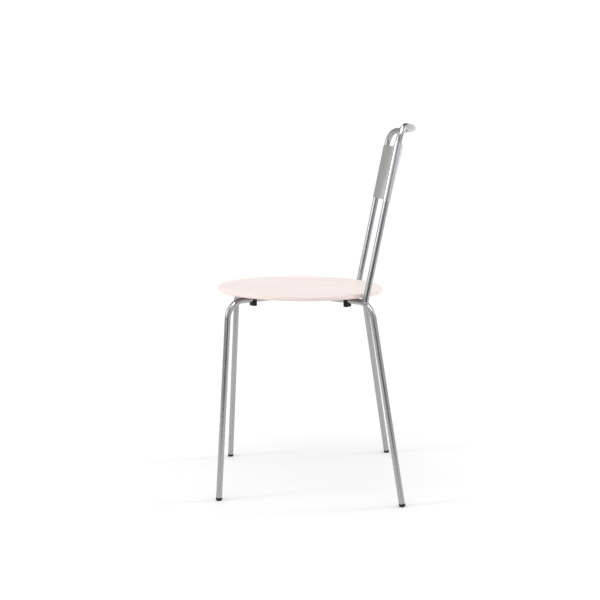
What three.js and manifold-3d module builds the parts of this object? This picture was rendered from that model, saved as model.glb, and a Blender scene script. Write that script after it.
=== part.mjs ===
// Stacking chair: four bent tube legs under a round dished seat, a bent tube
// back hoop welded to the rear legs, and a sheet back panel rolled round it.
// Millimetres, +Z up, the chair faces -Y, +X is the sitter's left.
import * as THREE from 'three';
import { mergeVertices } from 'three/addons/utils/BufferGeometryUtils.js';
import Module from 'manifold-3d';

const wasm = await Module();
wasm.setup();

// ---------------------------------------------------------------- sizes
const seatDiameter = 380;
const seatHeight = 462;            // floor to the top of the rim
const seatThickness = 10;
const seatDish = 3.5;              // how far the middle sinks below the rim
const seatRimRound = 4.2;          // rounding of the rim, above and below
const seatRake = 0.45;             // degrees, the front of the seat higher

const tubeDiameter = 13.5;
const tubeWall = 1.5;
const legBendRadius = 40;          // to the tube's axis
const frontLegAngle = 38.4;        // plan angle of the under-seat run, from -Y
const frontKneeOverhang = 9.8;     // axis corner of the leg beyond the seat edge
const frontSplayOut = 32;          // foot further out sideways than the corner
const frontSplayFore = 23.7;       // foot further forward than the corner
const rearKneeOverhang = 22;
const rearSplayOut = 46;
const rearSplayAft = 69.5;

const uprightAngle = 43.3;         // plan angle of the upright at seat level, from +Y
const uprightSeatGap = 3.7;        // upright clear of the seat edge
const uprightLean = 11;            // degrees back from vertical
const hoopRise = 358;              // top rail axis above the seat rim
const hoopBendRadius = 32;
const railBowAngle = 25;           // how far the rail ends turn back, degrees

const panelTopGap = 5.5;           // panel's upper edge below the start of the hoop's bends
const panelLength = 127;           // along the uprights
const panelSheet = 1.2;
const panelBowTop = 24;            // bow behind the upright axes, upper edge
const panelBowBottom = 18.5;       // the same at the lower edge
const panelRollOpening = 60;       // degrees left open between a rolled edge and the web

const hubPlateDiameter = 70;
const hubPlateThickness = 3;

const bumperSetIn = 85.2;          // clip's middle behind the foremost edge of the seat
const bumperLength = 8.5;          // along the tube
const bumperWall = 1.6;
const bumperDrop = 7.8;            // below the tube's underside
const bumperCornerRound = 2.2;
const bumperGripAngle = 35;        // degrees that each jaw reaches above the tube's middle

const screwRadius = 50;            // from the seat centre
const screwDiameter = 5;
const screwHeadDiameter = 9;
const screwHeadHeight = 2.7;
const screwSocketWidth = 3;        // hexagon, across its corners
const screwSocketDepth = 1.35;
const insertDiameter = 9;
const insertLength = 7;
const saddleDiameter = 11;
const saddleThickness = 1.2;       // washer below the tube's underside

const footHeight = 6;              // cap below the end of the tube
const footProud = 0.35;            // cap rim beyond the tube's surface
const footPlugLength = 16;

const touchGap = 0.3;              // left between pieces that touch or fit
const weldWidth = 1.5;

// ------------------------------------------------------- derived sizes
const seatRadius = seatDiameter / 2;
const tubeRadius = tubeDiameter / 2;
const boreRadius = tubeRadius - tubeWall;
const seatUnderside = seatHeight - seatThickness - seatDish;
const runHeight = seatUnderside - touchGap - tubeRadius;
const railHeight = seatHeight + hoopRise;
const saddleBottom = runHeight - tubeRadius - touchGap - saddleThickness;
const leanTangent = Math.tan(THREE.MathUtils.degToRad(uprightLean));

const tubeSides = 26;
const boreSides = 12;
const bendSteps = 10;
const railSteps = 18;
const seatSides = 72;

// -------------------------------------------------------------- helpers
const sides = [['left', 1], ['right', -1]];

function radians(degrees) {
  return THREE.MathUtils.degToRad(degrees);
}

function toSolid(geometry) {
  const bare = geometry.clone();
  bare.deleteAttribute('normal');
  bare.deleteAttribute('uv');
  const merged = mergeVertices(bare, 1e-4);
  return new wasm.Manifold(new wasm.Mesh({
    numProp: 3,
    vertProperties: new Float32Array(merged.attributes.position.array),
    triVerts: new Uint32Array(merged.index.array),
  }));
}

function toGeometry(solid) {
  const mesh = solid.getMesh();
  const geometry = new THREE.BufferGeometry();
  geometry.setAttribute('position', new THREE.BufferAttribute(new Float32Array(mesh.vertProperties), 3));
  geometry.setIndex(new THREE.BufferAttribute(new Uint32Array(mesh.triVerts), 1));
  return geometry;
}

// A run of places along a tube, each with its own direction. Places are only
// as close together as the bends need.
class BentRun extends THREE.Curve {
  constructor(places) {
    super();
    this.places = places;
  }

  getUtoTmapping(u) {
    return u;
  }

  getPoint(t, target = new THREE.Vector3()) {
    return target.copy(this.places[Math.round(t * (this.places.length - 1))].point);
  }

  getTangent(t, target = new THREE.Vector3()) {
    return target.copy(this.places[Math.round(t * (this.places.length - 1))].along);
  }
}

function place(point, along) {
  return { point: point.clone(), along: along.clone().normalize() };
}

// Places round a bend of the given radius that joins two straight directions
// meeting at a corner.
function bendPlaces(corner, before, after, radius, steps) {
  const turn = before.angleTo(after);
  const tangentLength = radius * Math.tan(turn / 2);
  const start = corner.clone().addScaledVector(before, -tangentLength);
  const inward = after.clone().addScaledVector(before, -before.dot(after)).normalize();
  const places = [];
  for (let i = 0; i <= steps; i += 1) {
    const angle = turn * i / steps;
    const point = start.clone();
    point.addScaledVector(before, radius * Math.sin(angle));
    point.addScaledVector(inward, radius * (1 - Math.cos(angle)));
    const along = before.clone().multiplyScalar(Math.cos(angle));
    along.addScaledVector(inward, Math.sin(angle));
    places.push(place(point, along));
  }
  return places;
}

function circlePoints(radius, count) {
  const points = [];
  for (let i = 0; i < count; i += 1) {
    const angle = 2 * Math.PI * i / count;
    points.push(new THREE.Vector2(radius * Math.cos(angle), radius * Math.sin(angle)));
  }
  return points;
}

// Round bar or tube swept along places; no bore when the bore radius is zero.
function sweep(places, outerRadius, innerRadius) {
  const shape = new THREE.Shape(circlePoints(outerRadius, tubeSides));
  if (innerRadius > 0) {
    shape.holes.push(new THREE.Path(circlePoints(innerRadius, boreSides)));
  }
  return new THREE.ExtrudeGeometry(shape, {
    extrudePath: new BentRun(places),
    steps: places.length - 1,
    bevelEnabled: false,
  });
}

function cylinder(radius, bottom, top, x, y, count = 24) {
  const geometry = new THREE.CylinderGeometry(radius, radius, top - bottom, count);
  geometry.rotateX(Math.PI / 2);
  geometry.translate(x, y, (top + bottom) / 2);
  return toSolid(geometry);
}

// The tube runs are level. The seat, with the inserts in it, is tipped back a
// little on them, about a level line across the chair.
const rakePivot = new THREE.Vector3(0, 0, runHeight);
const rakeTurn = new THREE.Matrix4()
  .makeTranslation(rakePivot.x, rakePivot.y, rakePivot.z)
  .multiply(new THREE.Matrix4().makeRotationX(-radians(seatRake)))
  .multiply(new THREE.Matrix4().makeTranslation(-rakePivot.x, -rakePivot.y, -rakePivot.z));

function raked(thing) {
  return thing.clone().applyMatrix4(rakeTurn);
}

function material(colour, roughness, metalness) {
  return new THREE.MeshStandardMaterial({ color: colour, roughness, metalness });
}

const silverTube = material(0xb4b4b6, 0.32, 1);
const seatFinish = material(0xf0e2da, 0.5, 0);
const blackPlastic = material(0x191919, 0.55, 0);
const zincSteel = material(0xa9abad, 0.35, 1);
const brass = material(0xc2a050, 0.35, 1);

const chair = new THREE.Group();

function addPiece(name, geometry, finish) {
  const shaded = geometry.index ? geometry.toNonIndexed() : geometry;
  shaded.computeVertexNormals();
  const mesh = new THREE.Mesh(shaded, finish);
  mesh.name = name;
  chair.add(mesh);
  return mesh;
}

// ------------------------------------------------------------------ legs
// Plan direction, from the seat centre outward, of each leg's under-seat run.
function runDirection(end, side) {
  const angle = radians(end === 'front' ? frontLegAngle : uprightAngle);
  const along = end === 'front' ? -1 : 1;
  return new THREE.Vector3(side * Math.sin(angle), along * Math.cos(angle), 0);
}

// Where the leg's axis and its run's axis would meet if the bend were sharp.
function kneeCorner(end, side) {
  const overhang = end === 'front' ? frontKneeOverhang : rearKneeOverhang;
  const corner = runDirection(end, side).multiplyScalar(seatRadius + overhang);
  corner.z = runHeight;
  return corner;
}

function footPoint(end, side) {
  const foot = kneeCorner(end, side);
  foot.x += side * (end === 'front' ? frontSplayOut : rearSplayOut);
  foot.y += end === 'front' ? -frontSplayFore : rearSplayAft;
  foot.z = 0;
  return foot;
}

function legDirection(end, side) {
  return kneeCorner(end, side).sub(footPoint(end, side)).normalize();
}

// Inner ends stop short of each other round the middle of the seat.
const runInnerEnd = tubeRadius / Math.tan(radians(Math.min(frontLegAngle, uprightAngle))) + 1.2;

function legPlaces(end, side) {
  const up = legDirection(end, side);
  const inward = runDirection(end, side).negate();
  const bottom = footPoint(end, side).addScaledVector(up, footHeight + touchGap);
  const innerEnd = inward.clone().multiplyScalar(-runInnerEnd);
  innerEnd.z = runHeight;
  return [
    place(bottom, up),
    ...bendPlaces(kneeCorner(end, side), up, inward, legBendRadius, bendSteps),
    place(innerEnd, inward),
  ];
}

function screwPoint(end, side) {
  return runDirection(end, side).multiplyScalar(screwRadius);
}

function makeLeg(end, side) {
  const hole = screwPoint(end, side);
  const screwHoleRadius = screwDiameter / 2 + touchGap;
  const tube = toSolid(sweep(legPlaces(end, side), tubeRadius, boreRadius));
  const drillBottom = runHeight - 2 * tubeRadius;
  const drillTop = runHeight + 2 * tubeRadius;
  const drill = cylinder(screwHoleRadius, drillBottom, drillTop, hole.x, hole.y, 16);
  return toGeometry(tube.subtract(drill));
}

// ------------------------------------------------------------- foot caps
// Turned cap: domed underneath, a rim under the tube and a plug inside it.
function makeFootCap(end, side) {
  const rim = tubeRadius + footProud;
  const plug = boreRadius - touchGap;
  const profile = [
    [0, -1.2],
    [rim * 0.55, -1.0],
    [rim * 0.82, 0.2],
    [rim * 0.96, 1.9],
    [rim, 3.8],
    [rim, footHeight - 0.4],
    [rim - 0.4, footHeight],
    [plug, footHeight],
    [plug, footHeight + footPlugLength - 2],
    [plug - 1.2, footHeight + footPlugLength],
    [0, footHeight + footPlugLength],
  ].map(([radius, height]) => new THREE.Vector2(radius, height));
  const turned = new THREE.LatheGeometry(profile, 22);
  const upright = new THREE.Vector3(0, 1, 0);
  const tilt = new THREE.Quaternion().setFromUnitVectors(upright, legDirection(end, side));
  turned.applyQuaternion(tilt);
  const foot = footPoint(end, side);
  turned.translate(foot.x, foot.y, foot.z);
  const floor = cylinder(rim * 3, -10, 0, foot.x, foot.y);
  return toGeometry(toSolid(turned).subtract(floor));
}

// ------------------------------------------------------------- back hoop
// Upright axis, given by its place at the height of the seat rim.
function uprightPoint(side, height) {
  const radius = seatRadius + tubeRadius + uprightSeatGap;
  const angle = radians(uprightAngle);
  return new THREE.Vector3(
    side * radius * Math.sin(angle),
    radius * Math.cos(angle) + (height - seatHeight) * leanTangent,
    height,
  );
}

const uprightDirection = new THREE.Vector3(0, leanTangent, 1).normalize();

// Bend that turns one upright into the bowed top rail.
function hoopBendPlaces() {
  const bow = radians(railBowAngle);
  const railEnd = new THREE.Vector3(-Math.cos(bow), Math.sin(bow), 0);
  return bendPlaces(uprightPoint(1, railHeight), uprightDirection, railEnd, hoopBendRadius, bendSteps);
}

function halfHoopPlaces() {
  const bow = radians(railBowAngle);
  const bend = hoopBendPlaces();
  const railStart = bend[bend.length - 1].point;
  const railRadius = railStart.x / Math.sin(bow);
  const places = [place(uprightPoint(1, runHeight), uprightDirection), ...bend];
  const halfSteps = railSteps / 2;
  for (let i = 1; i <= halfSteps; i += 1) {
    const angle = bow * (1 - i / halfSteps);
    const point = new THREE.Vector3(
      railRadius * Math.sin(angle),
      railStart.y + railRadius * (Math.cos(angle) - Math.cos(bow)),
      railHeight,
    );
    places.push(place(point, new THREE.Vector3(-Math.cos(angle), Math.sin(angle), 0)));
  }
  return places;
}

function hoopPlaces() {
  const half = halfHoopPlaces();
  const other = half.slice(0, -1).reverse().map(({ point, along }) => place(
    new THREE.Vector3(-point.x, point.y, point.z),
    new THREE.Vector3(along.x, -along.y, -along.z),
  ));
  return [...half, ...other];
}

// The hoop's lower ends are shaped to sit on the rear legs.
function makeHoop() {
  let hoop = toSolid(sweep(hoopPlaces(), tubeRadius, boreRadius));
  for (const [, side] of sides) {
    hoop = hoop.subtract(toSolid(sweep(legPlaces('rear', side), tubeRadius + touchGap, 0)));
  }
  return toGeometry(hoop);
}

// Weld bead that fills the corner where an upright stands on its rear leg.
function makeHoopWeld(side) {
  const upper = uprightPoint(side, runHeight + 3 * tubeRadius);
  const beadStart = uprightPoint(side, runHeight + tubeRadius * 0.12);
  const uprightStart = uprightPoint(side, runHeight - tubeRadius);
  const beadPlaces = [place(beadStart, uprightDirection), place(upper, uprightDirection)];
  const uprightPlaces = [place(uprightStart, uprightDirection), place(upper, uprightDirection)];
  const bead = toSolid(sweep(beadPlaces, tubeRadius + touchGap + weldWidth, 0));
  const upright = toSolid(sweep(uprightPlaces, tubeRadius + touchGap, 0));
  const nearLeg = toSolid(sweep(legPlaces('rear', side), tubeRadius + touchGap + weldWidth, 0));
  const leg = toSolid(sweep(legPlaces('rear', side), tubeRadius + touchGap, 0));
  return toGeometry(bead.intersect(nearLeg).subtract(upright).subtract(leg));
}

// ------------------------------------------------------------ back panel
// Middle line of the sheet, seen down the uprights: x across, y backward.
// It runs round one upright, across the back and round the other.
function panelMiddleLine(bowBehind) {
  const roll = tubeRadius + touchGap + panelSheet / 2;
  const halfSpan = uprightPoint(1, seatHeight).x;
  let tilt = 0.4;
  for (let i = 0; i < 40; i += 1) {
    const reach = halfSpan - roll * Math.sin(tilt);
    const depth = bowBehind + roll * Math.cos(tilt);
    tilt = 2 * Math.atan(depth / reach);
  }
  const reach = halfSpan - roll * Math.sin(tilt);
  const webRadius = reach / Math.sin(tilt);
  const half = [];
  const rollSteps = 24;
  for (let i = 0; i <= rollSteps; i += 1) {
    const angle = tilt + radians(360 - panelRollOpening) * (i / rollSteps - 1);
    half.push({
      point: new THREE.Vector2(halfSpan - roll * Math.sin(angle), -roll * Math.cos(angle)),
      outward: new THREE.Vector2(-Math.sin(angle), -Math.cos(angle)),
    });
  }
  const webSteps = 14;
  for (let i = 1; i <= webSteps; i += 1) {
    const angle = tilt * (1 - i / webSteps);
    half.push({
      point: new THREE.Vector2(webRadius * Math.sin(angle), bowBehind - webRadius * (1 - Math.cos(angle))),
      outward: new THREE.Vector2(-Math.sin(angle), -Math.cos(angle)),
    });
  }
  const other = half.slice(0, -1).reverse().map(({ point, outward }) => ({
    point: new THREE.Vector2(-point.x, point.y),
    outward: new THREE.Vector2(-outward.x, outward.y),
  }));
  return [...half, ...other];
}

function panelOutline(bowBehind) {
  const line = panelMiddleLine(bowBehind);
  const front = line.map(({ point, outward }) => point.clone().addScaledVector(outward, panelSheet / 2));
  const back = line.map(({ point, outward }) => point.clone().addScaledVector(outward, -panelSheet / 2));
  return [...front, ...back.reverse()];
}

// Extruded along the uprights from the lower outline; the upper edge is then
// moved to its own outline, which has more bow.
function makePanel() {
  const lower = panelOutline(panelBowBottom);
  const upper = panelOutline(panelBowTop);
  const geometry = new THREE.ExtrudeGeometry(new THREE.Shape(lower), {
    depth: panelLength,
    steps: 1,
    bevelEnabled: false,
  });
  const position = geometry.attributes.position;
  for (let i = 0; i < position.count; i += 1) {
    if (position.getZ(i) > panelLength / 2) {
      const x = position.getX(i);
      const y = position.getY(i);
      const match = lower.findIndex((p) => Math.hypot(p.x - x, p.y - y) < 1e-4);
      position.setXY(i, upper[match].x, upper[match].y);
    }
  }
  const across = new THREE.Vector3(1, 0, 0);
  const backward = new THREE.Vector3().crossVectors(uprightDirection, across);
  const start = hoopBendPlaces()[0].point;
  start.addScaledVector(uprightDirection, -(panelTopGap + panelLength));
  const pose = new THREE.Matrix4().makeBasis(across, backward, uprightDirection);
  pose.setPosition(0, start.y, start.z);
  geometry.applyMatrix4(pose);
  return geometry;
}

// ------------------------------------------------------------------ seat
// Height of the dished top face above the middle of the dish.
function dishRise(radius) {
  const flatStart = seatRadius - seatRimRound;
  return seatDish * Math.min(1, (radius / flatStart) ** 2);
}

function makeSeat() {
  const middleTop = seatHeight - seatDish;
  const edge = seatRadius - seatRimRound;
  const profile = [new THREE.Vector2(0, middleTop - seatThickness)];
  const dishSteps = 4;
  for (let i = 1; i <= dishSteps; i += 1) {
    const radius = edge * i / dishSteps;
    profile.push(new THREE.Vector2(radius, middleTop - seatThickness + dishRise(radius)));
  }
  const rimSteps = 4;
  for (let i = 1; i <= rimSteps; i += 1) {
    const angle = Math.PI / 2 * i / rimSteps;
    profile.push(new THREE.Vector2(
      edge + seatRimRound * Math.sin(angle),
      seatHeight - seatThickness + seatRimRound * (1 - Math.cos(angle)),
    ));
  }
  for (let i = 0; i <= rimSteps; i += 1) {
    const angle = Math.PI / 2 * (1 - i / rimSteps);
    profile.push(new THREE.Vector2(
      edge + seatRimRound * Math.sin(angle),
      seatHeight - seatRimRound * (1 - Math.cos(angle)),
    ));
  }
  for (let i = dishSteps - 1; i >= 1; i -= 1) {
    const radius = edge * i / dishSteps;
    profile.push(new THREE.Vector2(radius, middleTop + dishRise(radius)));
  }
  profile.push(new THREE.Vector2(0, middleTop));
  const disc = new THREE.LatheGeometry(profile, seatSides);
  disc.rotateX(Math.PI / 2);
  let seat = toSolid(disc);
  for (const end of ['front', 'rear']) {
    for (const [, side] of sides) {
      const hole = screwPoint(end, side);
      const top = insertBottom() + insertLength + touchGap;
      const pocket = cylinder(insertDiameter / 2 + touchGap, seatUnderside - 2, top, hole.x, hole.y);
      seat = seat.subtract(pocket);
    }
  }
  return toGeometry(seat);
}

// --------------------------------------------------- seat screws and inserts
function insertBottom() {
  return seatUnderside + dishRise(screwRadius);
}

function makeInsert(end, side) {
  const hole = screwPoint(end, side);
  const body = cylinder(insertDiameter / 2, insertBottom(), insertBottom() + insertLength, hole.x, hole.y);
  const thread = cylinder(screwDiameter / 2 + touchGap, insertBottom() - 1,
    insertBottom() + insertLength + 1, hole.x, hole.y, 16);
  return toGeometry(body.subtract(thread));
}

// Round washer, hollowed on top to fit the underside of the tube.
function makeSaddleWasher(end, side) {
  const hole = screwPoint(end, side);
  const body = cylinder(saddleDiameter / 2, saddleBottom, runHeight - tubeRadius * 0.55, hole.x, hole.y);
  const direction = runDirection(end, side);
  const near = direction.clone().multiplyScalar(screwRadius - 20);
  const far = direction.clone().multiplyScalar(screwRadius + 20);
  near.z = runHeight;
  far.z = runHeight;
  const bed = toSolid(sweep([place(near, direction), place(far, direction)], tubeRadius + touchGap, 0));
  const bore = cylinder(screwDiameter / 2 + touchGap, saddleBottom - 1, runHeight, hole.x, hole.y, 16);
  return toGeometry(body.subtract(bed).subtract(bore));
}

// Round-headed screw with a hexagon socket, driven up through the tube.
function makeScrew(end, side) {
  const hole = screwPoint(end, side);
  const headTop = saddleBottom - touchGap;
  const headBottom = headTop - screwHeadHeight;
  const headRadius = screwHeadDiameter / 2;
  const shankRadius = screwDiameter / 2;
  const tip = insertBottom() + insertLength - 1;
  const profile = [
    [0, headBottom],
    [headRadius * 0.55, headBottom],
    [headRadius * 0.85, headBottom + screwHeadHeight * 0.25],
    [headRadius, headBottom + screwHeadHeight * 0.65],
    [headRadius, headTop],
    [shankRadius, headTop],
    [shankRadius, tip - 0.8],
    [shankRadius - 0.8, tip],
    [0, tip],
  ].map(([radius, height]) => new THREE.Vector2(radius, height));
  const turned = new THREE.LatheGeometry(profile, 20);
  turned.rotateX(Math.PI / 2);
  turned.translate(hole.x, hole.y, 0);
  const socketTop = headBottom + screwSocketDepth;
  const socket = cylinder(screwSocketWidth / 2, headBottom - 1, socketTop, hole.x, hole.y, 6);
  return toGeometry(toSolid(turned).subtract(socket));
}

// ------------------------------------------------------- stacking bumpers
// Snap-on block: open at the top, with a flat foot that rests on the seat of
// the chair below.
function makeBumper(end, side) {
  const inner = tubeRadius + touchGap;
  const outer = inner + bumperWall;
  const bottom = -(tubeRadius + bumperDrop);
  const round = bumperCornerRound;
  const gripAngle = radians(bumperGripAngle);
  const shape = new THREE.Shape();
  shape.moveTo(-outer + round, bottom);
  shape.lineTo(outer - round, bottom);
  shape.absarc(outer - round, bottom + round, round, -Math.PI / 2, 0, false);
  shape.lineTo(outer, 0);
  shape.absarc(0, 0, outer, 0, gripAngle, false);
  shape.absarc(0, 0, inner, gripAngle, -Math.PI - gripAngle, true);
  shape.absarc(0, 0, outer, Math.PI - gripAngle, Math.PI, false);
  shape.lineTo(-outer, bottom + round);
  shape.absarc(-outer + round, bottom + round, round, Math.PI, 1.5 * Math.PI, false);
  const geometry = new THREE.ExtrudeGeometry(shape, {
    depth: bumperLength,
    bevelEnabled: false,
    curveSegments: 7,
  });
  geometry.translate(0, 0, -bumperLength / 2);
  const direction = runDirection(end, side);
  const upward = new THREE.Vector3(0, 0, 1);
  const across = new THREE.Vector3().crossVectors(upward, direction);
  const pose = new THREE.Matrix4().makeBasis(across, upward, direction);
  const reach = (seatRadius - bumperSetIn) / Math.abs(direction.y);
  const middle = direction.clone().multiplyScalar(reach);
  pose.setPosition(middle.x, middle.y, runHeight);
  geometry.applyMatrix4(pose);
  return geometry;
}

// ------------------------------------------------------------- hub plate
// Round plate welded under the inner ends of the four leg runs.
function makeHubPlate() {
  const top = runHeight - tubeRadius - touchGap;
  return toGeometry(cylinder(hubPlateDiameter / 2, top - hubPlateThickness, top, 0, 0, 48));
}

// -------------------------------------------------------------- assembly
addPiece('seat', raked(makeSeat()), seatFinish);
addPiece('hub_plate', makeHubPlate(), silverTube);
addPiece('back_hoop', makeHoop(), silverTube);
addPiece('back_panel', makePanel(), silverTube);
for (const [sideName, side] of sides) {
  addPiece(`hoop_weld_${sideName}`, makeHoopWeld(side), silverTube);
}
for (const end of ['front', 'rear']) {
  for (const [sideName, side] of sides) {
    const corner = `${end}_${sideName}`;
    addPiece(`leg_${corner}`, makeLeg(end, side), silverTube);
    addPiece(`foot_cap_${corner}`, makeFootCap(end, side), blackPlastic);
    addPiece(`stacking_bumper_${corner}`, makeBumper(end, side), blackPlastic);
    addPiece(`seat_screw_${corner}`, makeScrew(end, side), zincSteel);
    addPiece(`saddle_washer_${corner}`, makeSaddleWasher(end, side), zincSteel);
    addPiece(`seat_insert_${corner}`, raked(makeInsert(end, side)), brass);
  }
}

// Origin on the floor, in the middle of the chair's own outline.
const outline = new THREE.Box3().setFromObject(chair);
const middle = outline.getCenter(new THREE.Vector3());
for (const piece of chair.children) {
  piece.geometry.translate(-middle.x, -middle.y, -outline.min.z);
}

const group = new THREE.Group();
group.name = 'stacking_chair';
group.add(...[...chair.children]);

export default group;
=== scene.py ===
import math

import bmesh
import bpy
from mathutils import Matrix, Vector


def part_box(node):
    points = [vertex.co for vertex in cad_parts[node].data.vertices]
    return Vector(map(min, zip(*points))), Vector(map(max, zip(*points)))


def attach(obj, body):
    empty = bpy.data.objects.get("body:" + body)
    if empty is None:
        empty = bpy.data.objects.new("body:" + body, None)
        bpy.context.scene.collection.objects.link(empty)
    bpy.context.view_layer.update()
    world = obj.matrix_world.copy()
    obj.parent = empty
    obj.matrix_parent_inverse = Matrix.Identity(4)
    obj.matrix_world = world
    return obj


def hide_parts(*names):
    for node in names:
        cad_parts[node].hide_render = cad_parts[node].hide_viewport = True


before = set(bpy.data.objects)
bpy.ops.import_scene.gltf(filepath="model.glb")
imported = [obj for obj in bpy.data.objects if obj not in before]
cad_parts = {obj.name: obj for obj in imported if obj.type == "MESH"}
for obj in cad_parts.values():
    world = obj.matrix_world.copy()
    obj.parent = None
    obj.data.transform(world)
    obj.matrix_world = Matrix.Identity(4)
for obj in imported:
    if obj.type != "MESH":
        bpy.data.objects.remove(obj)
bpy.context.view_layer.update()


# ---- Leg tubes ------------------------------------------------------------
# Four lengths of drawn steel tube, each bent once over a former. The leg
# stands outside the seat and its upper end runs level under it to the hub.
# Sprayed satin silver after welding.
tube_radius = 0.00675
tube_wall = 0.0015
leg_bend_radius = 0.040
run_height = 0.44145
run_inner_end = 0.00972
cap_height = 0.0063
seat_radius = 0.190
plate_middle = sum(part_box("hub_plate"), Vector()) / 2
hub = Vector((0, plate_middle.y, run_height))
front_leg = {"way": -1, "angle": 38.4, "overhang": 0.0098, "splay": (0.032, -0.0237)}
rear_leg = {"way": 1, "angle": 43.3, "overhang": 0.022, "splay": (0.046, 0.0695)}
corners = [
    ("front_left", 1, front_leg),
    ("front_right", -1, front_leg),
    ("rear_left", 1, rear_leg),
    ("rear_right", -1, rear_leg),
]


def run_direction(side, leg):
    angle = math.radians(leg["angle"])
    return Vector((side * math.sin(angle), leg["way"] * math.cos(angle), 0))


def knee_corner(side, leg):
    return hub + run_direction(side, leg) * (seat_radius + leg["overhang"])


def foot_point(side, leg):
    knee = knee_corner(side, leg)
    out, along = leg["splay"]
    return Vector((knee.x + side * out, knee.y + along, 0))


def leg_direction(side, leg):
    return (knee_corner(side, leg) - foot_point(side, leg)).normalized()


def bend(corner, before, after, radius, steps):
    """Places, each a point and a direction, round a bend at a corner."""
    turn = before.angle(after)
    start = corner - before * radius * math.tan(turn / 2)
    inward = (after - before * before.dot(after)).normalized()
    places = []
    for i in range(steps + 1):
        a = turn * i / steps
        point = start + before * radius * math.sin(a) + inward * radius * (1 - math.cos(a))
        places.append((point, before * math.cos(a) + inward * math.sin(a)))
    return places


def leg_path(side, leg, steps=28):
    up = leg_direction(side, leg)
    inward = -run_direction(side, leg)
    lower_end = foot_point(side, leg) + up * cap_height
    return (
        [(lower_end, up)]
        + bend(knee_corner(side, leg), up, inward, leg_bend_radius, steps)
        + [(hub - inward * run_inner_end, inward)]
    )


def carried_frames(places):
    """Two cross directions at each place, carried along without twisting."""
    along = places[0][1].normalized()
    across = along.orthogonal().normalized()
    frames = []
    for _, direction in places:
        step = along.rotation_difference(direction)
        across = (step @ across).normalized()
        along = direction.normalized()
        frames.append((across, along.cross(across)))
    return frames


def new_piece(name, verts, faces, sharp=35):
    mesh = bpy.data.meshes.new(name)
    mesh.from_pydata([tuple(v) for v in verts], [], faces)
    work = bmesh.new()
    work.from_mesh(mesh)
    bmesh.ops.recalc_face_normals(work, faces=work.faces)
    work.to_mesh(mesh)
    work.free()
    mesh.shade_smooth()
    mesh.set_sharp_from_angle(angle=math.radians(sharp))
    piece = bpy.data.objects.new(name, mesh)
    bpy.context.scene.collection.objects.link(piece)
    return piece


def swept_tube(name, places, outer, bore, sides=40, broken_edge=0.0003):
    """Tube along places, bored through, with its end edges broken."""
    first, last = places[0], places[-1]
    skin = [(first[0], first[1], outer - broken_edge)]
    skin.append((first[0] + first[1] * broken_edge, first[1], outer))
    skin += [(p, d, outer) for p, d in places[1:-1]]
    skin.append((last[0] - last[1] * broken_edge, last[1], outer))
    skin.append((last[0], last[1], outer - broken_edge))
    frames = carried_frames([(p, d) for p, d, _ in skin])
    verts, faces = [], []
    turn = [2 * math.pi * i / sides for i in range(sides)]
    for (point, _, radius), (u, v) in zip(skin, frames):
        verts += [point + (u * math.cos(a) + v * math.sin(a)) * radius for a in turn]
    count = len(skin)
    if bore:
        for (point, _, _), (u, v) in zip(skin, frames):
            verts += [point + (u * math.cos(a) + v * math.sin(a)) * bore for a in turn]
    inner = count * sides
    for k in range(count - 1):
        for i in range(sides):
            j = (i + 1) % sides
            faces.append((k * sides + i, k * sides + j, (k + 1) * sides + j, (k + 1) * sides + i))
            if bore:
                a, b = inner + k * sides, inner + (k + 1) * sides
                faces.append((a + i, b + i, b + j, a + j))
    for k in (0, count - 1):
        ring = k * sides
        if bore:
            for i in range(sides):
                j = (i + 1) % sides
                faces.append((ring + i, ring + j, inner + ring + j, inner + ring + i))
        else:
            faces.append(tuple(range(ring, ring + sides)))
    return new_piece(name, verts, faces)


def cut(piece, cutter):
    """Cuts one piece's shape out of another and removes the cutter."""
    tool = piece.modifiers.new("cut", "BOOLEAN")
    tool.operation = "DIFFERENCE"
    tool.solver = "EXACT"
    tool.object = cutter
    bpy.context.view_layer.update()
    shape = piece.evaluated_get(bpy.context.evaluated_depsgraph_get())
    mesh = bpy.data.meshes.new_from_object(shape)
    piece.modifiers.clear()
    piece.data = mesh
    bpy.data.objects.remove(cutter)
    mesh.shade_smooth()
    mesh.set_sharp_from_angle(angle=math.radians(35))


def finish_nodes(name):
    """New material: its node tree and its Principled shader."""
    material = bpy.data.materials.new(name)
    material.use_nodes = True
    tree = material.node_tree
    return material, tree, tree.nodes["Principled BSDF"]


def add_node(tree, kind, links=(), **settings):
    """Adds a node, sets its properties and inputs, and links into it."""
    made = tree.nodes.new(kind)
    for key, value in settings.items():
        if key in made.inputs:
            made.inputs[key].default_value = value
        else:
            setattr(made, key, value)
    for target, source in dict(links).items():
        tree.links.new(source, made.inputs[target])
    return made


def grain(tree, where, scale, detail=3.0, roughness=0.55, stretch=(1, 1, 1)):
    """Noise laid in the piece's own space, in metres."""
    mapped = add_node(tree, "ShaderNodeMapping", {"Vector": where}, Scale=stretch)
    noise = add_node(tree, "ShaderNodeTexNoise", {"Vector": mapped.outputs[0]})
    noise.inputs["Scale"].default_value = scale
    noise.inputs["Detail"].default_value = detail
    noise.inputs["Roughness"].default_value = roughness
    return noise.outputs["Fac"]


def spread(tree, value, low, high, to_low, to_high):
    """Value mapped from one range to another, clamped."""
    mapped = add_node(tree, "ShaderNodeMapRange", {"Value": value})
    mapped.inputs["From Min"].default_value = low
    mapped.inputs["From Max"].default_value = high
    mapped.inputs["To Min"].default_value = to_low
    mapped.inputs["To Max"].default_value = to_high
    return mapped.outputs["Result"]


def blend_colours(tree, factor, first, second):
    """Blend of two colours, each a colour or a node's output."""
    mixed = add_node(tree, "ShaderNodeMix", data_type="RGBA")
    sockets = (mixed.inputs[0], mixed.inputs[6], mixed.inputs[7])
    for socket, value in zip(sockets, (factor, first, second)):
        if isinstance(value, (tuple, float)):
            socket.default_value = value
        else:
            tree.links.new(value, socket)
    return mixed.outputs[2]


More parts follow.
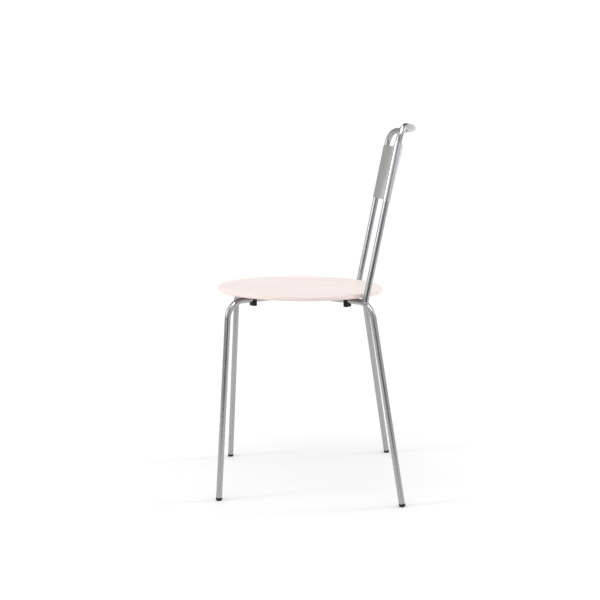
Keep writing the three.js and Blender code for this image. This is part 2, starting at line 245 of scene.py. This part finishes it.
def silver_finish(name, tone, roughness, scuffed_below=0.0):
    """Satin silver over steel: fine flake, a faint orange peel, and scuffs."""
    material, tree, shader = finish_nodes(name)
    where = add_node(tree, "ShaderNodeTexCoord").outputs["Object"]
    flake = grain(tree, where, 2600, 2)
    cloud = grain(tree, where, 45, 2)
    bright = tuple(c * 1.03 for c in tone) + (1,)
    dull = tuple(c * 0.965 for c in tone) + (1,)
    colour = blend_colours(tree, spread(tree, flake, 0.35, 0.65, 0, 1), dull, bright)
    gloss = spread(tree, cloud, 0.3, 0.7, roughness - 0.01, roughness + 0.015)
    if scuffed_below:
        height = add_node(tree, "ShaderNodeSeparateXYZ", {"Vector": where}).outputs["Z"]
        low = spread(tree, height, 0.0, scuffed_below, 1, 0)
        marks = grain(tree, where, 160, 5, 0.7, (1, 1, 0.22))
        scuff = spread(tree, marks, 0.56, 0.66, 0, 1)
        both = add_node(tree, "ShaderNodeMath", {0: low, 1: scuff}, operation="MULTIPLY").outputs[0]
        colour = blend_colours(tree, both, colour, tuple(c * 0.72 for c in tone) + (1,))
        rough = add_node(tree, "ShaderNodeMath", {0: both}, operation="MULTIPLY_ADD")
        rough.inputs[1].default_value = 0.2
        tree.links.new(gloss, rough.inputs[2])
        gloss = rough.outputs[0]
    peel = grain(tree, where, 300, 2, 0.4)
    bump = add_node(tree, "ShaderNodeBump", {"Height": peel}, Strength=0.035)
    bump.inputs["Distance"].default_value = 0.00002
    tree.links.new(colour, shader.inputs["Base Color"])
    tree.links.new(gloss, shader.inputs["Roughness"])
    tree.links.new(bump.outputs[0], shader.inputs["Normal"])
    shader.inputs["Metallic"].default_value = 1.0
    return material


leg_silver = silver_finish("leg_silver", (0.41, 0.41, 0.415), 0.27, scuffed_below=0.09)
tube_bore = tube_radius - tube_wall
screw_radius = 0.050
screw_hole = 0.0028
up = Vector((0, 0, 1))
for corner, side, leg in corners:
    tube = swept_tube("leg_tube_" + corner, leg_path(side, leg), tube_radius, tube_bore)
    hole = hub + run_direction(side, leg) * screw_radius
    reach = up * 2 * tube_radius
    drill = swept_tube("drill", [(hole - reach, up), (hole + reach, up)], screw_hole, 0, 20)
    cut(tube, drill)
    tube.data.materials.append(leg_silver)
    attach(tube, "root")
    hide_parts("leg_" + corner)


# ---- Hub plate ------------------------------------------------------------
# A blanked steel disc, 3 mm thick, welded under the inner ends of the four
# leg tubes. It holds them at their angles.
plate_radius = 0.035
plate_thickness = 0.003
plate_edge = 0.0004
tube_gap = 0.0003


def turned(name, profile, segments=48, close=False):
    """Piece turned about its own Z axis from (radius, height) pairs."""
    verts, faces, rings = [], [], []
    for radius, height in profile:
        if radius < 1e-7:
            rings.append([len(verts)] * segments)
            verts.append((0, 0, height))
            continue
        rings.append(list(range(len(verts), len(verts) + segments)))
        for i in range(segments):
            a = 2 * math.pi * i / segments
            verts.append((radius * math.cos(a), radius * math.sin(a), height))
    pairs = list(zip(rings, rings[1:]))
    if close:
        pairs.append((rings[-1], rings[0]))
    for low, high in pairs:
        for i in range(segments):
            j = (i + 1) % segments
            face = []
            for v in (low[i], low[j], high[j], high[i]):
                if v not in face:
                    face.append(v)
            if len(face) > 2:
                faces.append(tuple(face))
    return new_piece(name, verts, faces)


def stand_at(piece, place):
    """Moves a piece's mesh from its own space to its place on the chair."""
    piece.data.transform(place)


plate_top = run_height - tube_radius - tube_gap
plate_low = plate_top - plate_thickness
plate = turned("hub_disc", [
    (0, plate_low),
    (plate_radius - plate_edge, plate_low),
    (plate_radius, plate_low + plate_edge),
    (plate_radius, plate_top - plate_edge),
    (plate_radius - plate_edge, plate_top),
    (0, plate_top),
], 96)
stand_at(plate, Matrix.Translation((0, hub.y, 0)))
plate.data.materials.append(leg_silver)
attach(plate, "root")
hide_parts("hub_plate")


# ---- Back hoop ------------------------------------------------------------
# One longer tube bent into the uprights and the bowed top rail. Its lower
# ends are coped to sit on the rear legs, just outside the seat's edge.
upright_lean = math.radians(11)
upright_gap = 0.0037
seat_height = 0.462
hoop_rise = 0.358
hoop_bend_radius = 0.032
rail_bow = math.radians(25)
cope_gap = 0.0001
upright_direction = Vector((0, math.sin(upright_lean), math.cos(upright_lean)))


def upright_point(side, height):
    reach = seat_radius + tube_radius + upright_gap
    angle = math.radians(rear_leg["angle"])
    back = reach * math.cos(angle) + (height - seat_height) * math.tan(upright_lean)
    return Vector((side * reach * math.sin(angle), hub.y + back, height))


def hoop_bend(steps=28):
    rail_end = Vector((-math.cos(rail_bow), math.sin(rail_bow), 0))
    corner = upright_point(1, seat_height + hoop_rise)
    return bend(corner, upright_direction, rail_end, hoop_bend_radius, steps)


def hoop_path():
    """Up the left upright, along the bowed rail and down the right upright."""
    places = [(upright_point(1, run_height), upright_direction)] + hoop_bend()
    start = places[-1][0]
    rail_radius = start.x / math.sin(rail_bow)
    steps = 30
    for i in range(1, steps + 1):
        a = rail_bow * (1 - i / steps)
        back = start.y + rail_radius * (math.cos(a) - math.cos(rail_bow))
        point = Vector((rail_radius * math.sin(a), back, start.z))
        places.append((point, Vector((-math.cos(a), math.sin(a), 0))))
    for point, along in places[-2::-1]:
        mirrored = Vector((-point.x, point.y, point.z))
        places.append((mirrored, Vector((along.x, -along.y, -along.z))))
    return places


hoop = swept_tube("hoop_tube", hoop_path(), tube_radius, tube_bore, 48)
for side in (1, -1):
    cope = swept_tube("cope", leg_path(side, rear_leg), tube_radius + cope_gap, 0, 48)
    cut(hoop, cope)
hoop_silver = silver_finish("hoop_silver", (0.42, 0.42, 0.435), 0.23)
hoop.data.materials.append(hoop_silver)
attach(hoop, "root")
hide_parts("back_hoop")


# ---- Hoop welds -----------------------------------------------------------
# A bead run by hand round each coped joint, left as laid and sprayed over
# with the rest of the frame.
bead_radius = 0.0015
bead_lift = 0.0002
bead_ripples = 19
ripple_swell = 0.05
uneven_swell = 0.06
weld_silver = silver_finish("weld_silver", (0.42, 0.42, 0.425), 0.36)


def distance_to_path(point, places):
    nearest = 1.0
    for (a, _), (b, _) in zip(places, places[1:]):
        span = b - a
        t = max(0.0, min(1.0, (point - a).dot(span) / span.length_squared))
        nearest = min(nearest, (point - a - span * t).length)
    return nearest


def joint_curve(side, steps=136):
    """Line where an upright's surface meets the rear leg's."""
    leg_line = leg_path(side, rear_leg, 20)
    axis = upright_point(side, run_height)
    u = Vector((1, 0, 0))
    v = upright_direction.cross(u)
    points = []
    for i in range(steps):
        a = 2 * math.pi * i / steps
        outward = u * math.cos(a) + v * math.sin(a)
        low, high = 0.0, 0.02
        for _ in range(24):
            middle = (low + high) / 2
            probe = axis + outward * (tube_radius + bead_lift) + upright_direction * middle
            if distance_to_path(probe, leg_line) < tube_radius + bead_lift:
                low = middle
            else:
                high = middle
        points.append((axis + outward * tube_radius + upright_direction * low, outward))
    return points


def weld_bead(name, side):
    curve = joint_curve(side)
    count = len(curve)
    around = 14
    verts, faces = [], []
    for i, (point, outward) in enumerate(curve):
        along = (curve[(i + 1) % count][0] - curve[i - 1][0]).normalized()
        across = (outward - along * outward.dot(along)).normalized()
        rise = along.cross(across)
        turn = 2 * math.pi * i / count
        ripple = ripple_swell * math.sin(turn * bead_ripples)
        unevenness = uneven_swell * math.sin(turn * 3 + side)
        size = bead_radius * (1 + ripple + unevenness)
        for k in range(around):
            a = 2 * math.pi * k / around
            verts.append(point + (across * math.cos(a) + rise * math.sin(a)) * size)
    for i in range(count):
        for k in range(around):
            a, b = i * around, ((i + 1) % count) * around
            m = (k + 1) % around
            faces.append((a + k, a + m, b + m, b + k))
    return new_piece(name, verts, faces, 60)


for side, name in ((1, "left"), (-1, "right")):
    bead = weld_bead("hoop_bead_" + name, side)
    bead.data.materials.append(weld_silver)
    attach(bead, "root")
    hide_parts("hoop_weld_" + name)


# ---- Back panel -----------------------------------------------------------
# Steel sheet, 1.2 mm thick, bowed to the sitter's back. Its side edges are
# rolled round the uprights, so that no fixing shows, and its upper and lower
# edges are deburred.
panel_top_gap = 0.0055
panel_length = 0.127
panel_sheet = 0.0012
panel_bow_top = 0.024
panel_bow_bottom = 0.0185
panel_roll = math.radians(300)
panel_clearance = 0.0003
panel_edge = 0.0003


def panel_line(bow, roll_steps=54, web_steps=30):
    """Middle of the sheet and its front-facing normal, seen down the uprights.

    The angle at which the bowed web leaves a roll is found by repeating from
    a first guess.
    """
    roll = tube_radius + panel_clearance + panel_sheet / 2
    half_span = upright_point(1, seat_height).x
    tilt = 0.4
    for _ in range(40):
        reach = half_span - roll * math.sin(tilt)
        tilt = 2 * math.atan((bow + roll * math.cos(tilt)) / reach)
    web_radius = (half_span - roll * math.sin(tilt)) / math.sin(tilt)
    half = []
    for i in range(roll_steps + 1):
        a = tilt + panel_roll * (i / roll_steps - 1)
        front = Vector((-math.sin(a), -math.cos(a)))
        half.append((Vector((half_span, 0)) + front * roll, front))
    for i in range(1, web_steps + 1):
        a = tilt * (1 - i / web_steps)
        front = Vector((-math.sin(a), -math.cos(a)))
        back = bow - web_radius * (1 - math.cos(a))
        half.append((Vector((web_radius * math.sin(a), back)), front))
    other = [(Vector((-p.x, p.y)), Vector((-n.x, n.y))) for p, n in half[-2::-1]]
    return half + other


def panel_mesh():
    """Both faces of the sheet, row by row up the uprights, and its edges."""
    start = hoop_bend()[0][0] - upright_direction * (panel_top_gap + panel_length)
    base = Vector((0, start.y, start.z))
    backward = upright_direction.cross(Vector((1, 0, 0)))
    lower, upper = panel_line(panel_bow_bottom), panel_line(panel_bow_top)
    rows = [(0, panel_edge), (panel_edge, 0)]
    rows += [(panel_length * i / 8, 0) for i in range(1, 8)]
    rows += [(panel_length - panel_edge, 0), (panel_length, panel_edge)]
    verts, faces = [], []
    count = len(lower)
    for height, thinned in rows:
        share = height / panel_length
        for face in (1, -1):
            for (p, n), (q, m) in zip(lower, upper):
                flat = p.lerp(q, share) + n.lerp(m, share) * face * (panel_sheet / 2 - thinned)
                across = Vector((flat.x, 0, 0))
                verts.append(base + across + backward * flat.y + upright_direction * height)
    for r in range(len(rows) - 1):
        a, b = r * 2 * count, (r + 1) * 2 * count
        for i in range(count - 1):
            faces.append((a + i, a + i + 1, b + i + 1, b + i))
            faces.append((a + count + i, b + count + i, b + count + i + 1, a + count + i + 1))
        for i in (0, count - 1):
            faces.append((a + i, b + i, b + count + i, a + count + i))
    for r in (0, len(rows) - 1):
        a = r * 2 * count
        for i in range(count - 1):
            faces.append((a + i, a + i + 1, a + count + i + 1, a + count + i))
    return verts, faces


panel = new_piece("panel_sheet", *panel_mesh(), 40)
panel_silver = silver_finish("panel_silver", (0.64, 0.635, 0.635), 0.28)
panel.data.materials.append(panel_silver)
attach(panel, "root")
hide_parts("back_panel")


# ---- Foot caps ------------------------------------------------------------
# Moulded black plastic plugs, pushed into the leg ends. The dome underneath
# is worn flat where it stands on the floor.
cap_rim = tube_radius + 0.00035
cap_plug = tube_bore - 0.0003


def black_finish(name, roughness, texture_scale):
    """Moulded black plastic with a fine sparked texture, greyer in patches."""
    material, tree, shader = finish_nodes(name)
    where = add_node(tree, "ShaderNodeTexCoord").outputs["Object"]
    fine = grain(tree, where, texture_scale, 4, 0.6)
    broad = grain(tree, where, 180, 3)
    worn = spread(tree, broad, 0.3, 0.7, 0, 1)
    colour = blend_colours(tree, worn, (0.003, 0.003, 0.0032, 1), (0.008, 0.008, 0.008, 1))
    gloss = spread(tree, fine, 0.3, 0.7, roughness - 0.06, roughness + 0.08)
    bump = add_node(tree, "ShaderNodeBump", {"Height": fine}, Strength=0.5)
    bump.inputs["Distance"].default_value = 0.00005
    tree.links.new(colour, shader.inputs["Base Color"])
    tree.links.new(gloss, shader.inputs["Roughness"])
    tree.links.new(bump.outputs[0], shader.inputs["Normal"])
    shader.inputs["Specular IOR Level"].default_value = 0.28
    return material


cap_black = black_finish("cap_black", 0.5, 2400)
cap_profile = [
    (0, -0.0012),
    (cap_rim * 0.3, -0.00115),
    (cap_rim * 0.55, -0.001),
    (cap_rim * 0.7, -0.0005),
    (cap_rim * 0.82, 0.0002),
    (cap_rim * 0.9, 0.001),
    (cap_rim * 0.96, 0.0019),
    (cap_rim * 0.99, 0.0029),
    (cap_rim, 0.0038),
    (cap_rim, 0.0056),
    (cap_rim - 0.0001, 0.0059),
    (cap_rim - 0.0004, 0.006),
    (cap_plug, 0.006),
    (cap_plug, 0.02),
    (cap_plug - 0.0012, 0.022),
    (0, 0.022),
]
floor_plane = {"plane_co": (0, 0, 0), "plane_no": (0, 0, -1), "clear_outer": True}
for corner, side, leg in corners:
    cap = turned("floor_cap_" + corner, cap_profile)
    tilt = up.rotation_difference(leg_direction(side, leg)).to_matrix().to_4x4()
    stand_at(cap, Matrix.Translation(foot_point(side, leg)) @ tilt)
    work = bmesh.new()
    work.from_mesh(cap.data)
    everything = work.verts[:] + work.edges[:] + work.faces[:]
    sliced = bmesh.ops.bisect_plane(work, geom=everything, **floor_plane)
    rim_edges = [e for e in sliced["geom_cut"] if isinstance(e, bmesh.types.BMEdge)]
    bmesh.ops.contextual_create(work, geom=rim_edges)
    bmesh.ops.recalc_face_normals(work, faces=work.faces)
    work.to_mesh(cap.data)
    work.free()
    cap.data.set_sharp_from_angle(angle=math.radians(35))
    cap.data.materials.append(cap_black)
    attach(cap, "root")
    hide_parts("foot_cap_" + corner)


# ---- Seat inserts ---------------------------------------------------------
# Brass threaded bushes pressed into the underside of the seat, one above
# each screw hole in the tubes.
insert_brass, tree, shader = finish_nodes("insert_brass")
where = add_node(tree, "ShaderNodeTexCoord").outputs["Object"]
cloud = grain(tree, where, 700, 3)
tone = blend_colours(tree, cloud, (0.52, 0.38, 0.14, 1), (0.72, 0.56, 0.24, 1))
tree.links.new(tone, shader.inputs["Base Color"])
tree.links.new(spread(tree, cloud, 0.3, 0.7, 0.25, 0.42), shader.inputs["Roughness"])
shader.inputs["Metallic"].default_value = 1.0
for corner, _, _ in corners:
    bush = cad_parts["seat_insert_" + corner]
    bush.data.materials.clear()
    bush.data.materials.append(insert_brass)


# ---- Seat -----------------------------------------------------------------
# A round disc of moulded veneers, 10 mm thick, pressed to a shallow dish.
# The rim is rounded over and shows the edges of the plies; the whole is
# limed pale and lacquered satin. The downward faces are painted darker as shade.
seat_thickness = 0.010
seat_dish = 0.0035
rim_round = 0.0042
seat_rake = 0.45
ply_pitch = 0.0029


def seat_profile():
    """Dished underside, rounded rim and dished top, from axis to axis."""
    middle_top = seat_height - seat_dish
    edge = seat_radius - rim_round
    low, high = [], []
    dish_steps, rim_steps = 22, 10
    for i in range(dish_steps + 1):
        radius = edge * i / dish_steps
        rise = seat_dish * (radius / edge) ** 2
        low.append((radius, middle_top - seat_thickness + rise))
        high.append((radius, middle_top + rise))
    rounded_low, rounded_high = [], []
    for i in range(1, rim_steps + 1):
        a = math.pi / 2 * i / rim_steps
        out = edge + rim_round * math.sin(a)
        drop = rim_round * (1 - math.cos(a))
        rounded_low.append((out, seat_height - seat_thickness + drop))
        rounded_high.append((out, seat_height - drop))
    return low + rounded_low + rounded_high[::-1] + high[::-1]


seat = turned("seat_disc", [(r, z - seat_height) for r, z in seat_profile()], 240)
rake = Matrix.Rotation(-math.radians(seat_rake), 4, "X")
lift = Matrix.Translation((0, 0, seat_height - run_height))
seat.matrix_world = Matrix.Translation(hub) @ rake @ lift

seat_veneer, tree, shader = finish_nodes("seat_veneer")
where = add_node(tree, "ShaderNodeTexCoord").outputs["Object"]
broad = grain(tree, where, 9, 3, 0.5, (1, 0.16, 1))
figure = grain(tree, where, 62, 5, 0.62, (1, 0.045, 1))
fibre = grain(tree, where, 520, 4, 0.6, (1, 0.035, 1))
pores = grain(tree, where, 1500, 2, 0.6, (1, 0.02, 1))
pale = (0.795, 0.708, 0.688, 1)
warm = (0.77, 0.678, 0.652, 1)
veneer = blend_colours(tree, spread(tree, broad, 0.35, 0.65, 0, 1), pale, warm)
streaks = spread(tree, figure, 0.42, 0.68, 0, 0.3)
veneer = blend_colours(tree, streaks, veneer, (0.68, 0.57, 0.51, 1))
fine_streaks = spread(tree, fibre, 0.48, 0.72, 0, 0.2)
veneer = blend_colours(tree, fine_streaks, veneer, (0.62, 0.50, 0.44, 1))
dark_pores = spread(tree, pores, 0.62, 0.74, 0, 0.3)
veneer = blend_colours(tree, dark_pores, veneer, (0.55, 0.42, 0.35, 1))
parts = add_node(tree, "ShaderNodeSeparateXYZ", {"Vector": where})
plies = add_node(tree, "ShaderNodeMath", {0: parts.outputs["Z"]}, operation="MULTIPLY")
plies.inputs[1].default_value = 2 * math.pi / ply_pitch
banding = add_node(tree, "ShaderNodeMath", {0: plies.outputs[0]}, operation="SINE")
facing = add_node(tree, "ShaderNodeNewGeometry").outputs["Normal"]
upness = add_node(tree, "ShaderNodeSeparateXYZ", {"Vector": facing}).outputs["Z"]
flatness = add_node(tree, "ShaderNodeMath", {0: upness}, operation="ABSOLUTE").outputs[0]
rim = spread(tree, flatness, 0.97, 0.8, 0, 1)
ply_lines = spread(tree, banding.outputs[0], -0.2, 0.2, 0, 1)
ply_tone = blend_colours(tree, ply_lines, (0.76, 0.655, 0.622, 1), (0.65, 0.55, 0.508, 1))
# Faces turned downward take a darker brown: painted shade for the shadow under the seat.
under = spread(tree, upness, -0.9, -0.97, 0, 1)
painted_underside_shade = blend_colours(tree, fibre, (0.44, 0.375, 0.33, 1), (0.53, 0.455, 0.405, 1))
colour = blend_colours(tree, under, blend_colours(tree, rim, veneer, ply_tone), painted_underside_shade)
tree.links.new(colour, shader.inputs["Base Color"])
tree.links.new(spread(tree, fibre, 0.3, 0.7, 0.4, 0.5), shader.inputs["Roughness"])
bump = add_node(tree, "ShaderNodeBump", {"Height": fibre}, Strength=0.3)
bump.inputs["Distance"].default_value = 0.00004
tree.links.new(bump.outputs[0], shader.inputs["Normal"])
shader.inputs["Specular IOR Level"].default_value = 0.3
seat.data.materials.append(seat_veneer)
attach(seat, "root")
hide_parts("seat")


# ---- Seat screws and saddle washers ---------------------------------------
# Zinc-plated button-head screws with a hexagon socket, driven up through
# the tubes. A small washer, hollowed to the tube, sits under each head.
screw_head_radius = 0.0045
screw_head_height = 0.0027
screw_shank = 0.0025
screw_tip = 0.45475
screw_chamfer = 0.0008
head_gap = 0.0003
socket_radius = 0.0017
socket_depth = 0.0014
socket_point = 0.0018
washer_radius = 0.0055
washer_thickness = 0.0012
washer_edge = 0.0002
washer_low = run_height - tube_radius - tube_gap - washer_thickness
washer_top = run_height - tube_radius * 0.55
head_top = washer_low - head_gap
head_low = head_top - screw_head_height
head_dome = 0.75 * screw_head_height

plated_steel, tree, shader = finish_nodes("plated_steel")
where = add_node(tree, "ShaderNodeTexCoord").outputs["Object"]
cloud = grain(tree, where, 600, 4)
tone = blend_colours(tree, cloud, (0.5, 0.5, 0.5, 1), (0.68, 0.685, 0.7, 1))
tree.links.new(tone, shader.inputs["Base Color"])
tree.links.new(spread(tree, cloud, 0.3, 0.7, 0.24, 0.4), shader.inputs["Roughness"])
shader.inputs["Metallic"].default_value = 1.0


def screw_profile():
    """Domed head, shank and chamfered tip, from axis to axis."""
    profile = [(0, head_low)]
    dome_steps = 8
    for i in range(dome_steps + 1):
        a = math.pi / 2 * i / dome_steps
        radius = screw_head_radius * (0.5 + 0.5 * math.sin(a))
        profile.append((radius, head_low + head_dome * (1 - math.cos(a))))
    profile += [
        (screw_head_radius, head_top),
        (screw_shank, head_top),
        (screw_shank, screw_tip - screw_chamfer),
        (screw_shank - screw_chamfer, screw_tip),
        (0, screw_tip),
    ]
    return profile


for corner, side, leg in corners:
    along = run_direction(side, leg)
    where_to = along * screw_radius
    place = Matrix.Translation((where_to.x, hub.y + where_to.y, 0))
    screw = turned("button_screw_" + corner, screw_profile())
    socket = turned("socket", [
        (0, head_low - 0.001),
        (socket_radius, head_low - 0.001),
        (socket_radius, head_low + socket_depth),
        (0, head_low + socket_point),
    ], 6)
    cut(screw, socket)
    stand_at(screw, place)
    screw.data.materials.append(plated_steel)
    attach(screw, "root")
    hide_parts("seat_screw_" + corner)

    washer = turned("tube_washer_" + corner, [
        (screw_hole, washer_low),
        (washer_radius - washer_edge, washer_low),
        (washer_radius, washer_low + washer_edge),
        (washer_radius, washer_top),
        (screw_hole, washer_top),
    ], 48, close=True)
    bed_ends = [(where_to - along * 0.02, along), (where_to + along * 0.02, along)]
    bed = swept_tube("bed", bed_ends, tube_radius + tube_gap, 0, 48)
    stand_at(bed, Matrix.Translation((-where_to.x, -where_to.y, run_height)))
    cut(washer, bed)
    stand_at(washer, place)
    washer.data.materials.append(plated_steel)
    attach(washer, "root")
    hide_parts("saddle_washer_" + corner)


# ---- Stacking bumpers -----------------------------------------------------
# Moulded black clips, snapped over the tubes from below. Their flat feet
# rest on the seat of the chair below in a stack.
bumper_set_in = 0.0852
bumper_length = 0.0085
bumper_wall = 0.0016
bumper_drop = 0.0078
bumper_round = 0.0022
bumper_grip = math.radians(35)
bumper_clearance = 0.0003
bumper_edge = 0.0005
bumper_black = black_finish("bumper_black", 0.46, 2000)


def clip_outline():
    """Section of a clip: its block and the two lips that grip the tube."""
    inner = tube_radius + bumper_clearance
    outer = inner + bumper_wall
    bottom = -(tube_radius + bumper_drop)
    points = []

    def arc(cx, cy, radius, start, end, steps):
        for i in range(steps + 1):
            a = start + (end - start) * i / steps
            points.append((cx + radius * math.cos(a), cy + radius * math.sin(a)))

    arc(outer - bumper_round, bottom + bumper_round, bumper_round, -math.pi / 2, 0, 8)
    arc(0, 0, outer, 0, bumper_grip, 10)
    arc(0, 0, inner, bumper_grip, -math.pi - bumper_grip, 56)
    arc(0, 0, outer, math.pi - bumper_grip, math.pi, 10)
    arc(-outer + bumper_round, bottom + bumper_round, bumper_round, math.pi, 1.5 * math.pi, 8)
    return points


def clip_piece(name):
    outline = clip_outline()
    count = len(outline)
    work = bmesh.new()
    low = [work.verts.new((x, y, -bumper_length / 2)) for x, y in outline]
    high = [work.verts.new((x, y, bumper_length / 2)) for x, y in outline]
    work.faces.new(low[::-1])
    work.faces.new(high)
    for i in range(count):
        j = (i + 1) % count
        work.faces.new((low[i], low[j], high[j], high[i]))
    bmesh.ops.recalc_face_normals(work, faces=work.faces)
    rims = [e for e in work.edges if abs(e.verts[0].co.z - e.verts[1].co.z) < 1e-6]
    bmesh.ops.bevel(work, geom=rims, offset=bumper_edge, segments=3, profile=0.5, affect="EDGES")
    mesh = bpy.data.meshes.new(name)
    work.to_mesh(mesh)
    work.free()
    mesh.shade_smooth()
    mesh.set_sharp_from_angle(angle=math.radians(40))
    piece = bpy.data.objects.new(name, mesh)
    bpy.context.scene.collection.objects.link(piece)
    return piece


for corner, side, leg in corners:
    clip = clip_piece("stack_clip_" + corner)
    along = run_direction(side, leg)
    pose = Matrix((up.cross(along), up, along)).transposed().to_4x4()
    middle = along * ((seat_radius - bumper_set_in) / abs(along.y))
    stand_at(clip, Matrix.Translation(hub + middle) @ pose)
    clip.data.materials.append(bumper_black)
    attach(clip, "root")
    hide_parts("stacking_bumper_" + corner)


# ---- Studio ---------------------------------------------------------------
# A white floor that runs out of sight under an even white sky. Soft lights
# hang above, in front and behind, two low ones lay the feet's shadows, and
# grey cards stand where only reflections show them.
bpy.ops.mesh.primitive_plane_add(size=40, location=(0, 0, 0))
floor = bpy.context.object
floor.name = "studio_floor"
floor_paint, tree, shader = finish_nodes("floor_paint")
where = add_node(tree, "ShaderNodeTexCoord").outputs["Object"]
patches = grain(tree, where, 3, 2)
tone = blend_colours(tree, patches, (0.83, 0.83, 0.83, 1), (0.845, 0.845, 0.845, 1))
tree.links.new(tone, shader.inputs["Base Color"])
shader.inputs["Roughness"].default_value = 0.7
shader.inputs["Specular IOR Level"].default_value = 0.15
floor.data.materials.append(floor_paint)


def soft_light(name, place, target, width, height, power):
    data = bpy.data.lights.new(name, "AREA")
    data.shape = "RECTANGLE"
    data.size, data.size_y = width, height
    data.energy = power
    lamp = bpy.data.objects.new(name, data)
    lamp.location = place
    lamp.rotation_euler = (Vector(target) - Vector(place)).to_track_quat("-Z", "Y").to_euler()
    bpy.context.scene.collection.objects.link(lamp)
    return lamp


def low_light(name, place, strength):
    """Distant low light; draws the soft streak of shadow at each foot."""
    data = bpy.data.lights.new(name, "SUN")
    data.angle = math.radians(14)
    data.energy = strength
    lamp = bpy.data.objects.new(name, data)
    lamp.rotation_euler = (-Vector(place)).to_track_quat("-Z", "Y").to_euler()
    lamp.visible_glossy = False
    bpy.context.scene.collection.objects.link(lamp)


# The first three show only in reflections; the fourth lights everything.
key = soft_light("key_light", (0.7, -2.3, 1.35), (0, 0, 0.95), 0.9, 1.3, 11)
key.visible_diffuse = False
overhead = soft_light("overhead_light", (0.45, 0.15, 2.4), (0.1, 0, 0.4), 0.8, 2.9, 37)
overhead.visible_diffuse = False
back_high = soft_light("back_high_light", (-0.25, 2.4, 1.45), (0.1, 0.2, 0.5), 0.9, 0.8, 6)
back_high.visible_diffuse = False
soft_light("top_light", (0.9, -0.7, 2.7), (0, 0, 0.4), 1.2, 1.2, 5)
low_light("left_low_light", (0.25, -1, 0.26), 1.3)
low_light("right_low_light", (-0.2, 1, 0.26), 1.3)


def card(name, place, target, width, height, tone):
    """Evenly glowing grey board that only reflections see."""
    paint = bpy.data.materials.new(name)
    paint.use_nodes = True
    glow = paint.node_tree.nodes.new("ShaderNodeEmission")
    glow.inputs["Color"].default_value = (*tone, 1)
    socket = paint.node_tree.nodes["Material Output"].inputs["Surface"]
    paint.node_tree.links.new(glow.outputs[0], socket)
    bpy.ops.mesh.primitive_plane_add(size=1, location=place)
    flag = bpy.context.object
    flag.name = name
    flag.scale = (width, height, 1)
    flag.rotation_euler = (Vector(target) - Vector(place)).to_track_quat("Z", "Y").to_euler()
    flag.data.materials.append(paint)
    flag.visible_camera = False
    flag.visible_diffuse = False
    flag.visible_shadow = False


card("camera_side_card", (2.6, 0.1, 1.4), (0, 0, 1.4), 2.0, 2.0, (0.34, 0.34, 0.34))
card("camera_side_low_card", (2.6, 0.2, 0.2), (0, 0, 0.2), 3.0, 0.38, (0.065, 0.065, 0.065))
card("camera_side_floor_card", (1.9, 0.25, 0.004), (1.9, 0.25, 2), 1.4, 3.2, (0.08, 0.08, 0.08))
card("right_card", (0.6, 2.6, 1.2), (0, 0, 1.2), 2.6, 2.3, (0.60, 0.62, 0.72))
card("low_left_card", (0.9, -2.3, 0.3), (0, 0, 0.3), 2.6, 0.55, (0.2, 0.2, 0.2))
card("far_left_card", (-1.9, -2.2, 0.9), (0, 0, 0.7), 2.0, 1.8, (0.47, 0.455, 0.435))
card("ceiling_card", (-0.9, 0, 2.8), (0, 0, 0), 3.4, 4.4, (0.12, 0.12, 0.125))

world = bpy.data.worlds.new("white_sky")
world.use_nodes = True
sky = world.node_tree.nodes["Background"]
sky.inputs["Color"].default_value = (1, 1, 1, 1)
sky.inputs["Strength"].default_value = 1.03
bpy.context.scene.world = world
bpy.context.scene.view_settings.view_transform = "Standard"
bpy.context.scene.view_settings.look = "None"

camera_data = bpy.data.cameras.new("camera")
camera_data.sensor_width = 36
camera_data.lens = 53.61
camera = bpy.data.objects.new("camera", camera_data)
camera.location = (2.060, hub.y + 0.0122, 0.7238)
pitch, yaw = 0.1427, -0.0063
gaze = Vector((-math.cos(yaw) * math.cos(pitch), math.sin(yaw) * math.cos(pitch), -math.sin(pitch)))
camera.rotation_euler = gaze.to_track_quat("-Z", "Y").to_euler()
bpy.context.scene.collection.objects.link(camera)
bpy.context.scene.camera = camera
